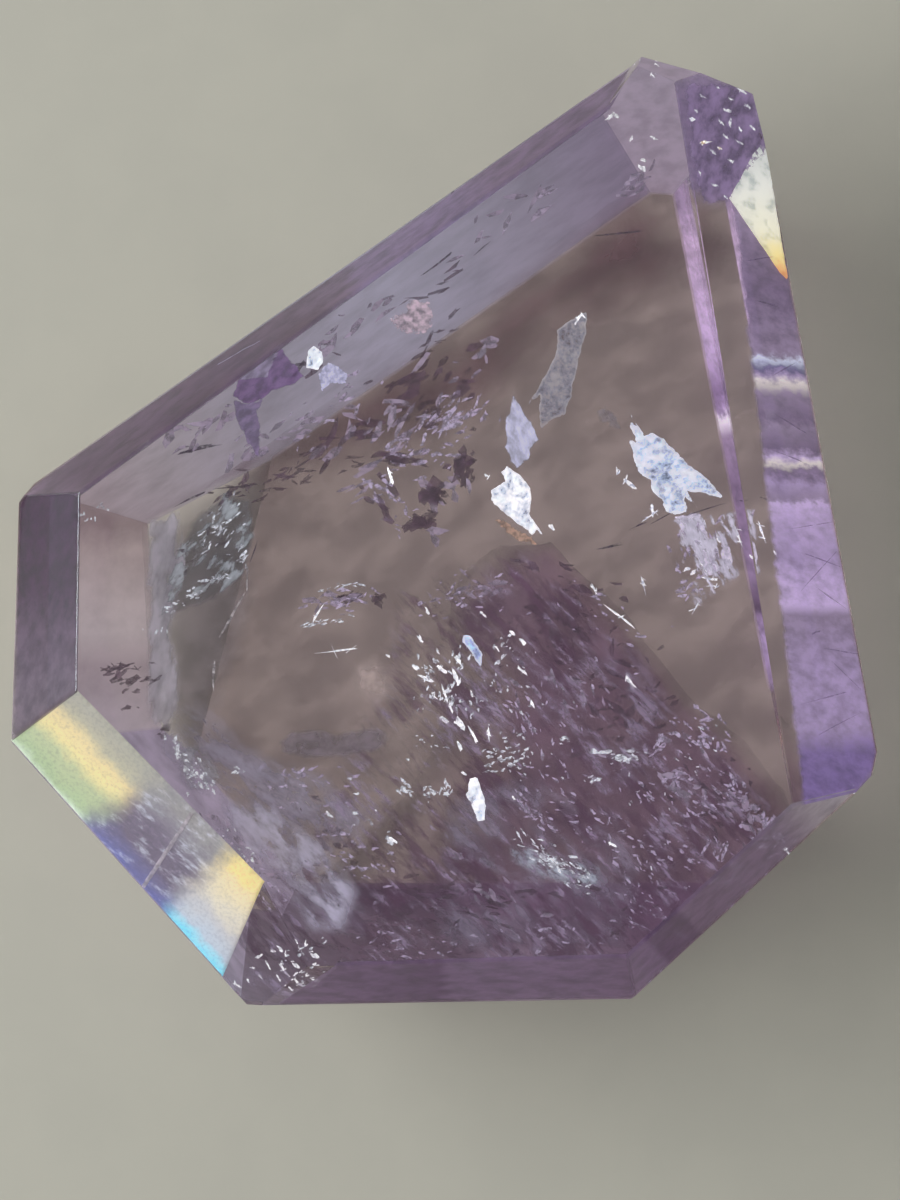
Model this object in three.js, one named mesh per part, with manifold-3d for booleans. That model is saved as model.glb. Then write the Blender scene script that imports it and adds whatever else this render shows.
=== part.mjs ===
// Freeform amethyst palm stone: one solid piece of faceted, clear purple quartz.
//
// The stone lies on its broad flat base with its larger flat (the table) on top.
// Around the table runs a belt of crown facets that slope down to the girdle,
// the widest line of the stone. Under the girdle the pavilion facets slope in
// again to the base. Seen from above the outline is an irregular polygon of
// eleven corners, with one long slanted side at the upper left.
//
// Frame: millimetres, +Z up out of the table, +Y along the longest direction,
// origin at the centre of the bounding box's bottom, so the base lies on z = 0.

import * as THREE from 'three';
import { mergeVertices } from 'three/addons/utils/BufferGeometryUtils.js';
import Module from 'manifold-3d';

// ---------------------------------------------------------------- dimensions

const THICKNESS = 15.5;          // base to table

// Girdle outline seen from above, clockwise from the top corner.
const OUTLINE = [
  [13.65, 32.90], [21.49, 30.73], [22.33, 27.44],       // short top side and its corner
  [30.31, -15.26], [29.89, -16.87],                     // long right side and its corner
  [13.02, -32.48], [-13.86, -32.90], [-15.05, -31.71],  // lower right, bottom, clipped corner
  [-30.31, -14.56], [-29.75, 2.17], [-28.70, 3.50],     // lower left, left side, upper left corner
];

// Table corners seen from above, at z = THICKNESS.
const TABLE = {
  top: [13.19, 32.04],
  topRight: [15.93, 30.94],
  rightLow: [23.97, -18.76],
  bottomRight: [12.57, -29.13],
  bottomLeft: [-9.40, -29.75],
  notch: [-12.49, -24.05],
  leftLow: [-25.33, -10.94],
  leftTop: [-25.12, 2.79],
  slantEnd: [11.20, 29.30],
};

// Crown facets: two table corners, and one point on the girdle with the height
// that the facet has there.
const CROWN = {
  top: ['top', 'topRight', [17.57, 31.82], 14.0],
  right: ['topRight', 'rightLow', [26.32, 6.09], 10.6],
  lowerRight: ['rightLow', 'bottomRight', [21.46, -24.68], 11.6],
  bottom: ['bottomRight', 'bottomLeft', [-0.42, -32.69], 11.4],
  left: ['leftLow', 'leftTop', [-30.03, -6.20], 11.2],
};

// The two places where neighbouring crown facets meet in a shallow valley and
// not in a ridge: the clipped corner beside the lower left facet, and the tip
// of the long slanted side.
const CROWN_VALLEYS = {
  lowerLeft: [
    ['notch', 'leftLow', [-22.68, -23.14], 10.6],
    ['bottomLeft', 'notch', [-14.46, -32.31], 10.6],
  ],
  slant: [
    ['leftTop', 'slantEnd', [-7.52, 18.20], 12.2],
    ['slantEnd', 'top', [12.81, 32.34], 13.0],
  ],
};

// Pavilion facets: two points on the facet's lower edge, that edge's height,
// one point on the girdle and the facet's height there.
const PAVILION = {
  slant: [[16.41, 25.92], [-21.06, -0.34], 0, [-7.52, 18.20], 9.0],
  top: [[13.91, 24.71], [17.48, 24.49], 0, [17.57, 31.82], 11.5],
  right: [[16.76, 22.14], [24.78, -19.30], 0, [26.32, 6.09], 10.0],
  lowerRight: [[18.75, -24.89], [24.78, -19.30], 0, [21.46, -24.68], 10.0],
  bottom: [[-10.35, -24.89], [18.75, -24.89], 0, [-0.42, -32.69], 9.6],
  lowerLeft: [[-20.34, -13.18], [-11.07, -24.24], 0, [-22.68, -23.14], 10.0],
  left: [[-21.06, -0.34], [-21.06, -7.47], 1.2, [-30.03, -6.20], 10.2],
};

// The heel: a very shallow facet that lifts the left end of the base.
const HEEL = [[-13.78, -0.20], [-16.99, -12.75], 0, [-21.06, -4.60], 1.2];

const CUTTER = 160;              // side of the blocks that cut the facets

// -------------------------------------------------------------- solid helpers

const wasm = await Module();
wasm.setup();

// A closed three.js geometry as a solid.
function solid(geometry) {
  let g = geometry.clone();
  g.deleteAttribute('normal');
  g.deleteAttribute('uv');
  g = mergeVertices(g, 1e-5);
  return new wasm.Manifold(new wasm.Mesh({
    numProp: 3,
    vertProperties: new Float32Array(g.attributes.position.array),
    triVerts: new Uint32Array(g.index.array),
  }));
}

// A solid as a three.js geometry, flat shaded.
function geometryOf(body) {
  const mesh = body.getMesh();
  const points = new Float32Array((mesh.vertProperties.length / mesh.numProp) * 3);
  for (let i = 0; i < points.length / 3; i += 1) {
    for (let k = 0; k < 3; k += 1) points[3 * i + k] = mesh.vertProperties[mesh.numProp * i + k];
  }
  const g = new THREE.BufferGeometry();
  g.setAttribute('position', new THREE.BufferAttribute(points, 3));
  g.setIndex(new THREE.BufferAttribute(new Uint32Array(mesh.triVerts), 1));
  g.computeVertexNormals();
  return g;
}

const at = ([x, y], z) => new THREE.Vector3(x, y, z);

// The facet plane through three points, with its normal pointing out of the
// stone (away from a point in the middle of it).
function facet(a, b, c) {
  const plane = new THREE.Plane().setFromCoplanarPoints(a, b, c);
  if (plane.distanceToPoint(new THREE.Vector3(0, 0, THICKNESS / 2)) > 0) plane.negate();
  return { plane, point: a };
}

// A block that fills the space outside a facet, one face lying on the facet.
function outside({ plane, point }) {
  const block = new THREE.BoxGeometry(CUTTER, CUTTER, CUTTER);
  block.translate(0, 0, CUTTER / 2);
  const turn = new THREE.Quaternion().setFromUnitVectors(new THREE.Vector3(0, 0, 1), plane.normal);
  block.applyQuaternion(turn);
  block.translate(point.x, point.y, point.z);
  return solid(block);
}

const crownFacet = ([from, to, girdle, height]) => facet(
  at(TABLE[from], THICKNESS), at(TABLE[to], THICKNESS), at(girdle, height));

const lowerFacet = ([from, to, z, girdle, height]) => facet(
  at(from, z), at(to, z), at(girdle, height));

// ------------------------------------------------------------------ the stone

// The rough blank: the outline standing straight up between base and table.
const outlineShape = new THREE.Shape(OUTLINE.map(([x, y]) => new THREE.Vector2(x, y)));
const blank = new THREE.ExtrudeGeometry(outlineShape, { depth: THICKNESS, bevelEnabled: false });

let stone = solid(blank);
for (const cut of Object.values(CROWN)) stone = stone.subtract(outside(crownFacet(cut)));
for (const [first, second] of Object.values(CROWN_VALLEYS)) {
  stone = stone.subtract(outside(crownFacet(first)).intersect(outside(crownFacet(second))));
}
for (const cut of Object.values(PAVILION)) stone = stone.subtract(outside(lowerFacet(cut)));
stone = stone.subtract(outside(lowerFacet(HEEL)));

const amethyst = new THREE.Mesh(
  geometryOf(stone),
  new THREE.MeshStandardMaterial({ color: 0x8f7d8e, roughness: 0.06, metalness: 0.0, flatShading: true }),
);
amethyst.name = 'amethyst_stone';

const palmStone = new THREE.Group();
palmStone.add(amethyst);

export default palmStone;
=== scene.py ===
# %% [markdown]
# # An amethyst palm stone
#
# The object is one piece of clear, pale purple quartz. It has been ground flat on
# all sides: a big flat on top (the table), a flat underneath that it lies on (the
# base), sloping facets around the table (the crown) and sloping facets under the
# widest line (the pavilion). Everything interesting about it is inside: zones
# of stronger purple, silvery cracks, veils of tiny bubbles and small glints.
#
# A clear stone has almost no colour of its own surface. What we see is the floor
# and the room, bent by its facets. So the facets come from the exact CAD solid,
# and the colour comes from absorption inside it and from films under the facets
# that paint the reflections and glare the facets show. The flaws are real thin
# pieces of mesh held inside the glass, and many glow a little with painted light.

# %% Load the frame
import math
import random

import bmesh
import bpy
from mathutils import Matrix, Vector, kdtree, noise
from mathutils.bvhtree import BVHTree


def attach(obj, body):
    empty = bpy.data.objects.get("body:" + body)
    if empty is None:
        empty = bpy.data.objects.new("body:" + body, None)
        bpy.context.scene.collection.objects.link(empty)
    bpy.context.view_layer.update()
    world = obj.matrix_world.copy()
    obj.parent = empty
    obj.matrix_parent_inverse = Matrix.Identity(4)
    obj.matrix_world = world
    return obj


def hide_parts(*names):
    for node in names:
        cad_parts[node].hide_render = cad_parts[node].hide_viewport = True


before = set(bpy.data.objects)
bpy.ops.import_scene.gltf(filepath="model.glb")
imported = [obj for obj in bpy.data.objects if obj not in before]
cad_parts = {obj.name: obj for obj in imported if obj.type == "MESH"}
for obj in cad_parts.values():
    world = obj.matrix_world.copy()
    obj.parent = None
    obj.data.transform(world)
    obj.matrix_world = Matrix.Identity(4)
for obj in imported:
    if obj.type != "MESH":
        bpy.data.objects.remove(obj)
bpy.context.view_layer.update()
stone_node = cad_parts["amethyst_stone"]
scene = bpy.context.scene
METRE = 1000.0                    # one metre in millimetres

# %% [markdown]
# ## The camera
#
# The picture looks straight down on the table. A long lens from 26 cm keeps the
# perspective weak, as on a phone held well above the stone. The scene is worked
# out in millimetres and made smaller by a thousand when a mesh is finished.

# %% Camera
MM = 0.001                        # one millimetre in metres
WIDE, HIGH = 900, 1200            # the picture's size in pixels
PIXEL = 0.07                      # millimetres on the girdle plane for one picture pixel
GIRDLE = 10.5                     # height of the widest line, mm
TABLE = 15.5                      # height of the table, mm
DISTANCE = 260.0                  # from the girdle plane up to the lens, mm
SENSOR = 36.0                     # the camera's own sensor, mm
EYE = Vector((0.35, -4.62, GIRDLE + DISTANCE))

camera_data = bpy.data.cameras.new("camera")
camera_data.lens = SENSOR * DISTANCE / (HIGH * PIXEL)
camera_data.clip_start = 0.005
camera_data.clip_end = 20.0
camera = bpy.data.objects.new("camera", camera_data)
camera.location = EYE * MM
scene.collection.objects.link(camera)
scene.camera = camera
print("lens", round(camera_data.lens, 1), "mm")


def pixel_spot(px, py):
    """The place on the girdle plane that a picture pixel looks at."""
    return Vector((EYE.x + (px - WIDE / 2) * PIXEL, EYE.y + (HIGH / 2 - py) * PIXEL, GIRDLE))


def screen(red, green, blue):
    """A colour as a screen shows it, 0 to 255, in the linear values that shaders use."""
    return tuple(((v / 255 + 0.055) / 1.055) ** 2.4 for v in (red, green, blue))

# %% [markdown]
# ## Light and floor
#
# A clear stone shows its surroundings, so the light matters as much as the
# material. One wide, low window of cool sky light stands at the left. It throws
# the long soft shadow to the right and lets some light pass through the stone on
# to the floor. The dim bluish room fills in the rest. Light that is trapped
# inside is thrown about by many facets before it gets out, and each of those
# mirror turns counts as a bounce, so the bounce limits are high.

# %% World and window
world = bpy.data.worlds.new("soft_room")
scene.world = world
world.use_nodes = True
sky = world.node_tree.nodes["Background"]
sky.inputs["Color"].default_value = (0.85, 0.93, 1.0, 1.0)
sky.inputs["Strength"].default_value = 0.42
world.cycles.sampling_method = "NONE"

WINDOW_PLACE = Vector((-0.60, 0.08, 0.27))       # metres; it faces the stone at the origin
window_light = bpy.data.lights.new("window", "AREA")
window_light.shape = "RECTANGLE"
window_light.size, window_light.size_y = 0.80, 0.35
window_light.energy = 8.3
window_light.color = (0.86, 0.94, 1.0)
window = bpy.data.objects.new("window", window_light)
window.matrix_world = (Matrix.Translation(WINDOW_PLACE)
                       @ (-WINDOW_PLACE).to_track_quat("-Z", "Y").to_matrix().to_4x4())
scene.collection.objects.link(window)

BOUNCES = 16
scene.view_settings.view_transform = "Standard"
scene.cycles.use_denoising = True
scene.cycles.use_adaptive_sampling = True
scene.cycles.adaptive_threshold = 0.04
scene.cycles.use_light_tree = False
scene.cycles.max_bounces = BOUNCES
scene.cycles.glossy_bounces = BOUNCES
scene.cycles.transmission_bounces = BOUNCES
scene.cycles.diffuse_bounces = 2
scene.cycles.transparent_max_bounces = 64

# %% [markdown]
# ## Writing materials as sums
#
# A shader's maths is easier to read as an expression than as a list of nodes.
# `Wire` wraps one output socket, and Python's own operators on it add the Math
# nodes. `Recipe` holds one material and makes any other node.


# %% Shader helpers
class Wire:
    """One output socket, with arithmetic that adds Math nodes."""

    def __init__(self, recipe, socket):
        self.recipe, self.socket = recipe, socket

    def _math(self, operation, *values, clamp=False):
        settings = {"operation": operation, "use_clamp": clamp}
        node = self.recipe.node("ShaderNodeMath", settings, dict(enumerate(values)))
        return Wire(self.recipe, node.outputs[0])

    def __add__(self, other):
        return self._math("ADD", self, other)

    __radd__ = __add__

    def __sub__(self, other):
        return self._math("SUBTRACT", self, other)

    def __rsub__(self, other):
        return self._math("SUBTRACT", other, self)

    def __mul__(self, other):
        return self._math("MULTIPLY", self, other)

    __rmul__ = __mul__

    def __truediv__(self, other):
        return self._math("DIVIDE", self, other)

    def clamped(self):
        return self._math("ADD", self, 0.0, clamp=True)

    def step(self, low, high):
        """0 below low, 1 above high, and smooth between."""
        node = self.recipe.node("ShaderNodeMapRange", {"interpolation_type": "SMOOTHSTEP"},
                                {"Value": self, "From Min": low, "From Max": high})
        return Wire(self.recipe, node.outputs["Result"])


class Recipe:
    """One node material, with its Principled shader ready."""

    def __init__(self, name, **plain):
        self.material = bpy.data.materials.new(name)
        self.material.use_nodes = True
        self.material.cycles.emission_sampling = "NONE"
        self.tree = self.material.node_tree
        self.shader = self.tree.nodes["Principled BSDF"]
        self.output = self.tree.nodes["Material Output"]
        for socket, value in plain.items():
            self.feed(self.shader, socket.replace("_", " "), value)

    def feed(self, node, socket, value):
        """Give one input of a node a plain value or a link."""
        if isinstance(value, Wire):
            self.tree.links.new(value.socket, node.inputs[socket])
        elif isinstance(value, tuple) and len(value) == 3 and node.inputs[socket].type == "RGBA":
            node.inputs[socket].default_value = (*value, 1.0)
        else:
            node.inputs[socket].default_value = value

    def paint(self, tone, alpha=1.0):
        """The surface's colour, which is also the colour of its glow of painted light, and its alpha."""
        for socket, value in (("Base Color", tone), ("Emission Color", tone), ("Alpha", alpha)):
            self.feed(self.shader, socket, value)

    def node(self, kind, settings=None, inputs=None):
        node = self.tree.nodes.new(kind)
        for setting, value in (settings or {}).items():
            setattr(node, setting, value)
        for socket, value in (inputs or {}).items():
            self.feed(node, socket, value)
        return node

    def place(self):
        """The object's own coordinates, in metres."""
        return Wire(self, self.node("ShaderNodeTexCoord").outputs["Object"])

    def along(self, direction, origin):
        """Distance in millimetres from origin (mm) along a direction."""
        moved = self.node("ShaderNodeVectorMath", {"operation": "SUBTRACT"},
                          {0: self.place(), 1: tuple(v * MM for v in origin)})
        share = self.node("ShaderNodeVectorMath", {"operation": "DOT_PRODUCT"},
                          {0: Wire(self, moved.outputs[0]), 1: tuple(direction)})
        return Wire(self, share.outputs["Value"]) * METRE

    def run(self, start, stop):
        """0 at one picture pixel and 1 at another, measured on the girdle plane."""
        begin, end = pixel_spot(*start), pixel_spot(*stop)
        return self.along((end - begin).normalized(), begin) / (end - begin).length

    def grain(self, size, detail=3.0, stretch=1.0, turn=0.0, roughness=0.55):
        """Noise between 0 and 1 with features of size mm, stretch times longer along turn degrees."""
        spot = self.node("ShaderNodeMapping", {"vector_type": "TEXTURE"}, {
            "Vector": self.place(), "Scale": (stretch, 1.0, 1.0), "Rotation": (0, 0, math.radians(turn))})
        made = self.node("ShaderNodeTexNoise", {}, {"Vector": Wire(self, spot.outputs[0]),
                         "Scale": METRE / size, "Detail": detail, "Roughness": roughness})
        return Wire(self, made.outputs["Fac"])

    def blend(self, share, first, second, kind="MIX"):
        """Mix two colours (values or links) by share."""
        node = self.node("ShaderNodeMix", {"data_type": "RGBA", "blend_type": kind}, {"Factor": share})
        self.feed(node, 6, first)
        self.feed(node, 7, second)
        return Wire(self, node.outputs[2])

    def multiply(self, first, second):
        return self.blend(1.0, first, second, "MULTIPLY")

    def ramp(self, value, stops):
        """A colour ramp: stops is a list of (position, linear colour)."""
        node = self.node("ShaderNodeValToRGB", {}, {"Fac": value})
        while len(node.color_ramp.elements) < len(stops):
            node.color_ramp.elements.new(1.0)
        for element, (position, colour) in zip(node.color_ramp.elements, stops):
            element.position = position
            element.color = (*colour, 1.0)
        return Wire(self, node.outputs["Color"])

    def screen_ramp(self, value, stops):
        """A colour ramp whose colours are given as a screen shows them."""
        return self.ramp(value, [(position, screen(*colour)) for position, colour in stops])

    def fade(self):
        """The piece's own vertex attribute: 0 at its rim, 1 well inside."""
        return Wire(self, self.node("ShaderNodeAttribute", {"attribute_name": "fade"}).outputs["Fac"])

    def bump(self, height, strength, distance):
        node = self.node("ShaderNodeBump", {},
                         {"Strength": strength, "Distance": distance * MM, "Height": height})
        self.feed(self.shader, "Normal", Wire(self, node.outputs["Normal"]))

    def absorb(self, colour, density):
        volume = self.node("ShaderNodeVolumeAbsorption", {}, {"Color": colour, "Density": density})
        self.tree.links.new(volume.outputs[0], self.output.inputs["Volume"])


# %% Mesh helper
def finish_piece(name, bm, recipe, fade=None):
    """Turn a bmesh in millimetres into a piece of the stone, in metres."""
    bmesh.ops.scale(bm, vec=(MM, MM, MM), verts=bm.verts)
    mesh = bpy.data.meshes.new(name)
    bm.to_mesh(mesh)
    bm.free()
    if fade is not None:
        rim, reach = fade
        layer = mesh.attributes.new("fade", "FLOAT", "POINT")
        for vertex, value in zip(mesh.vertices, layer.data):
            value.value = min(1.0, rim.find(vertex.co * METRE)[2] / reach)
    mesh.materials.append(recipe.material)
    piece = bpy.data.objects.new(name, mesh)
    scene.collection.objects.link(piece)
    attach(piece, "root")
    return piece


# %% [markdown]
# ## The floor
#
# A plain pale painted surface. It lies two hundredths of a millimetre under the
# base, so that there is real air between the two, as there is in life.

# %% Floor
FLOOR_REACH = 1.5                 # from the middle of the floor to its edge, metres
AIR_GAP = 0.02                    # between the floor and the base, mm
pale = Recipe("pale_floor", Roughness=0.7)
speck = pale.grain(9.0, detail=4.0).step(0.35, 0.65)
pale.feed(pale.shader, "Base Color", pale.blend(speck, (0.455, 0.407, 0.326), (0.470, 0.420, 0.335)))
bm = bmesh.new()
bmesh.ops.create_grid(bm, x_segments=1, y_segments=1, size=FLOOR_REACH)
bmesh.ops.translate(bm, verts=bm.verts, vec=(0, 0, -AIR_GAP * MM))
floor_mesh = bpy.data.meshes.new("floor")
bm.to_mesh(floor_mesh)
bm.free()
floor_mesh.materials.append(pale.material)
floor = bpy.data.objects.new("floor", floor_mesh)
scene.collection.objects.link(floor)

# %% [markdown]
# ## The skin of the stone
#
# The facets are taken from the CAD solid: its loose triangles are merged and the
# flat ones dissolved, which leaves one face for each facet. From that sharp skin
# come two helpers. One follows a sight line into the stone and bends it, as
# quartz does. The other trims a flaw to the space inside the facets.

# %% Sharp skin
IOR = 1.544                       # quartz's index of refraction
FLAT = math.radians(0.6)          # faces that differ by less lie on one facet
VALLEY = 2.0                      # how far a corner may stand out past a facet's plane, mm


def sharp_skin():
    """The CAD solid with one face for each facet, in millimetres."""
    bm = bmesh.new()
    bm.from_mesh(stone_node.data)
    bmesh.ops.remove_doubles(bm, verts=bm.verts, dist=1e-6)
    bmesh.ops.dissolve_limit(bm, angle_limit=FLAT, verts=bm.verts, edges=bm.edges)
    bmesh.ops.scale(bm, vec=(METRE, METRE, METRE), verts=bm.verts)
    bm.normal_update()
    return bm


skin = sharp_skin()
skin.faces.ensure_lookup_table()
skin_tree = BVHTree.FromBMesh(skin)
corners = [v.co.copy() for v in skin.verts]
base = min(skin.faces, key=lambda face: face.normal.z)
WALLS = []                        # (a point, the outward normal) of each facet, the largest first
for face in sorted(skin.faces, key=lambda f: -f.calc_area()):
    stands_out = max((corner - face.verts[0].co).dot(face.normal) for corner in corners)
    if stands_out < VALLEY:       # the two small valley facets would cut too much away
        WALLS.append((face.calc_center_median(), face.normal.copy()))
print(len(skin.faces), "facets,", len(WALLS), "used as walls")


def sight(px, py):
    """Where the sight line through a picture pixel enters the stone, and its bent direction."""
    ray = (pixel_spot(px, py) - EYE).normalized()
    hit, normal, _, _ = skin_tree.ray_cast(EYE, ray)
    if hit is None:
        hit, normal = EYE + ray * ((EYE.z - TABLE) / -ray.z), Vector((0, 0, 1))
    cos = -ray.dot(normal)
    bend = 1.0 / IOR
    return hit, ray * bend + normal * (bend * cos - math.sqrt(1.0 - bend * bend * (1.0 - cos * cos)))


def in_stone(px, py, z):
    """Where the sight line through a pixel is, inside the stone, at height z."""
    hit, inside = sight(px, py)
    return hit + inside * ((z - hit.z) / inside.z)


def on_plane(px, py, point, normal):
    """Where the sight line through a pixel meets a plane."""
    hit, inside = sight(px, py)
    return hit + inside * ((point - hit).dot(normal) / inside.dot(normal))


def crown_at(px, py):
    """The facet on which the sight line through a pixel enters the stone."""
    ray = (pixel_spot(px, py) - EYE).normalized()
    return skin.faces[skin_tree.ray_cast(EYE, ray)[2]]


def wall_at(px, py):
    """The facet that the sight line through a pixel meets inside the stone."""
    hit, inside = sight(px, py)
    return skin.faces[skin_tree.ray_cast(hit + inside * 0.01, inside)[2]]


def keep_inside(bm, gap, closed=False):
    """Trim a mesh to the space gap millimetres inside all facets."""
    for point, normal in WALLS:
        cut = bmesh.ops.bisect_plane(bm, geom=bm.verts[:] + bm.edges[:] + bm.faces[:], dist=1e-5,
                                     plane_co=point - normal * gap, plane_no=normal, clear_outer=True)
        edges = [e for e in cut["geom_cut"] if isinstance(e, bmesh.types.BMEdge)]
        if closed and edges:
            bmesh.ops.triangle_fill(bm, edges=edges, use_beauty=True)


# %% [markdown]
# ## The crystal
#
# The clear body itself. Its edges are very slightly worn, so each gets a bevel of
# seven hundredths of a millimetre: these catch the thin light lines. Edges too
# short for a bevel are merged first. The material is plain quartz: full
# transmission, the index of quartz, an almost perfect polish and a weak
# absorption that leaves a warm, pale mauve.

# %% Crystal
WHITE = (1.0, 1.0, 1.0)
WEAR = 0.07                       # width of the worn edges, mm
SHORT_EDGE = 0.25                 # edges up to this length are merged, mm
quartz = Recipe("clear_quartz", Transmission_Weight=1.0, IOR=IOR, Roughness=0.004)
clear = quartz.blend(quartz.grain(6.0).step(0.3, 0.7), WHITE, (0.985, 0.975, 0.985))
quartz.feed(quartz.shader, "Base Color", clear)
quartz.absorb((0.90, 0.72, 0.81), 24.0)

bm = sharp_skin()
bmesh.ops.remove_doubles(bm, verts=bm.verts, dist=SHORT_EDGE)
bmesh.ops.bevel(bm, geom=bm.edges[:], offset=WEAR, offset_type="OFFSET", affect="EDGES",
                segments=2, profile=0.5, material=-1, clamp_overlap=True)
bmesh.ops.recalc_face_normals(bm, faces=bm.faces)
print("crystal:", len(bm.verts), "vertices,", len(bm.faces), "faces")
crystal = finish_piece("crystal", bm, quartz)
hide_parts("amethyst_stone")

# %% [markdown]
# ## The purple heart
#
# Amethyst is rarely even: the purple lies in bands and blocks that follow the
# crystal's growth. Here one block holds most of it. It could be a change of
# colour in the body's own absorption, but that has to stay one plain value. So
# the block is a closed mesh inside the clear body. Its surface has an index of
# 1 and bends nothing, and its absorption adds to the body's. Its top is smaller
# than its foot: where its side slopes, the light crosses less of it, and the
# colour ends softly.


# %% Purple heart
def cut_long(bm, cell):
    """Split the faces until no edge is longer than cell."""
    bmesh.ops.triangulate(bm, faces=bm.faces[:])
    for _ in range(8):            # each round halves what is still too long
        long_edges = [e for e in bm.edges if e.calc_length() > cell]
        if not long_edges:
            break
        bmesh.ops.subdivide_edges(bm, edges=long_edges, cuts=1)
        bmesh.ops.triangulate(bm, faces=bm.faces[:])


HEART_TOP = [
    (545, 640), (546, 590), (556, 556), (592, 600), (632, 650), (682, 715), (732, 755), (776, 800),
    (802, 835), (900, 1040), (420, 1040), (520, 900), (550, 790), (545, 720),
]
HEART_FOOT = [
    (450, 600), (462, 572), (500, 546), (552, 541), (588, 578), (632, 625), (684, 692), (745, 742),
    (785, 790), (812, 825), (900, 1040), (240, 1040), (300, 900), (410, 790), (455, 690),
]
TOP_HEIGHT, FOOT_HEIGHT = 5.6, 0.3               # mm above the base
SWELL, SWELL_SIZE = 0.35, 2.6                    # how far noise pushes the sides about, and its size, mm
SWELL_START = Vector((14.2, 0, 0))               # where in the noise the block lies

bm = bmesh.new()
for outline, height in ((HEART_TOP, TOP_HEIGHT), (HEART_FOOT, FOOT_HEIGHT)):
    rim = [bm.verts.new(in_stone(px, py, height)) for px, py in outline]
    bmesh.ops.contextual_create(bm, geom=rim)
bmesh.ops.bridge_loops(bm, edges=bm.edges[:])
cut_long(bm, 1.3)
for v in bm.verts:
    v.co += noise.turbulence_vector(v.co / SWELL_SIZE + SWELL_START, 3, False) * SWELL
bmesh.ops.recalc_face_normals(bm, faces=bm.faces)
keep_inside(bm, 0.12, closed=True)
bmesh.ops.triangulate(bm, faces=bm.faces[:])
bmesh.ops.recalc_face_normals(bm, faces=bm.faces)
open_edges = sum(1 for e in bm.edges if len(e.link_faces) != 2)
print("purple_heart", len(bm.faces), "faces, open edges", open_edges)

heart_purple = Recipe("purple_heart_colour", Transmission_Weight=1.0, IOR=1.0, Roughness=0.0,
                      Specular_IOR_Level=0.0)
heart_purple.absorb((0.76, 0.34, 0.80), 70.0)
finish_piece("purple_heart", bm, heart_purple)

# %% [markdown]
# ## Sheets: the one helper behind cracks, flakes and veils
#
# Nearly every flaw in quartz is a thin sheet: a crack that opened and shows
# silver, or a healed crack that is full of tiny bubbles and shows as a veil.
# Each starts as an outline on a plane inside the stone. It is cut into small
# cells, crumpled by noise, trimmed to the inside of the facets and given a real
# thickness. A "fade" attribute keeps each vertex's distance from the outline, so
# that a material can let the sheet thin out there. Where a facet cuts it, it
# stays whole up to the facet. Only its upper side carries the material. Its
# lower side and its rim are clear, so that the light passes it only once.


# %% Sheet helpers
WAVE = 1.2                        # size of the crumples, mm
RAG = 0.45                        # size of the nicks in a ragged outline, mm
THIN = 0.03                       # thickness of a sheet, mm
CRUMPLE_STEP, NICK_STEP = 9.7, 3.3               # how far apart two seeds lie in the noise
clear_side = Recipe("clear_side", Alpha=0.0, Roughness=0.5)


def thicken(bm, depth):
    """Give open faces a thickness: a copy moved by depth, and a wall between the two."""
    made = bmesh.ops.extrude_face_region(bm, geom=bm.faces[:], use_keep_orig=True)["geom"]
    copied = [part for part in made if isinstance(part, bmesh.types.BMVert)]
    bmesh.ops.translate(bm, verts=copied, vec=depth)
    bmesh.ops.recalc_face_normals(bm, faces=bm.faces)
    if bm.calc_volume(signed=True) < 0.0:
        bmesh.ops.reverse_faces(bm, faces=bm.faces[:])
    bm.normal_update()


def thin_film(name, points, up, recipe, cell=0.45, crumple=0.12, ragged=0.1, seed=1, gap=0.2, reach=0.5,
              top=None):
    """A thin crumpled film through points in millimetres, cut off at the height top."""
    bm = bmesh.new()
    bmesh.ops.contextual_create(bm, geom=[bm.verts.new(point) for point in points])
    if top is not None:
        bmesh.ops.bisect_plane(bm, geom=[*bm.verts, *bm.edges, *bm.faces],
                               plane_co=(0, 0, top), plane_no=(0, 0, 1), clear_outer=True)
    cut_long(bm, cell)
    for v in bm.verts:
        v.co += up * (noise.fractal(v.co / WAVE + Vector((0, 0, seed * CRUMPLE_STEP)), 1.0, 2.0, 3) * crumple)
        if v.is_boundary and ragged:
            push = noise.noise_vector(v.co / RAG + Vector((seed * NICK_STEP, 0, 0))) * ragged
            v.co += push - up * push.dot(up)
    border = [v.co.copy() for v in bm.verts if v.is_boundary]
    rim = kdtree.KDTree(len(border))
    for number, spot in enumerate(border):
        rim.insert(spot, number)
    rim.balance()
    keep_inside(bm, gap)
    if not bm.faces:
        raise RuntimeError(name + " lies outside the stone")
    thicken(bm, up * -THIN)
    for face in bm.faces:
        face.smooth = True
        face.material_index = int(face.normal.dot(up) < 0.1)     # 1, clear, for the rim and below
    piece = finish_piece(name, bm, recipe, fade=(rim, reach))
    piece.data.materials.append(clear_side.material)


def sheet(name, outline, plane, recipe, **cut):
    """A sheet on a plane inside the stone, its outline given in picture pixels."""
    point, up = plane
    thin_film(name, [on_plane(px, py, point, up) for px, py in outline], up, recipe, **cut)


def flaw(name, outline, height, slope, recipe, **cut):
    """A sheet through the middle of its outline at a height, rising by slope."""
    middle = [sum(place) / len(outline) for place in zip(*outline)]
    up = Vector((-slope[0], -slope[1], 1.0)).normalized()
    sheet(name, outline, (in_stone(*middle, height), up), recipe, **cut)


def under(facet, depth):
    """The plane that lies depth millimetres under a facet."""
    return facet.verts[0].co - facet.normal * depth, facet.normal


def lining(name, facet, depth, recipe, **cut):
    """A film that lies depth millimetres under a whole facet."""
    points = [v.co - facet.normal * depth for v in facet.verts]
    cut = {"cell": 0.8, "crumple": 0.02, "ragged": 0.0, "gap": 0.1, "reach": 0.4, **cut}
    thin_film(name, points, facet.normal, recipe, **cut)
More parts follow.
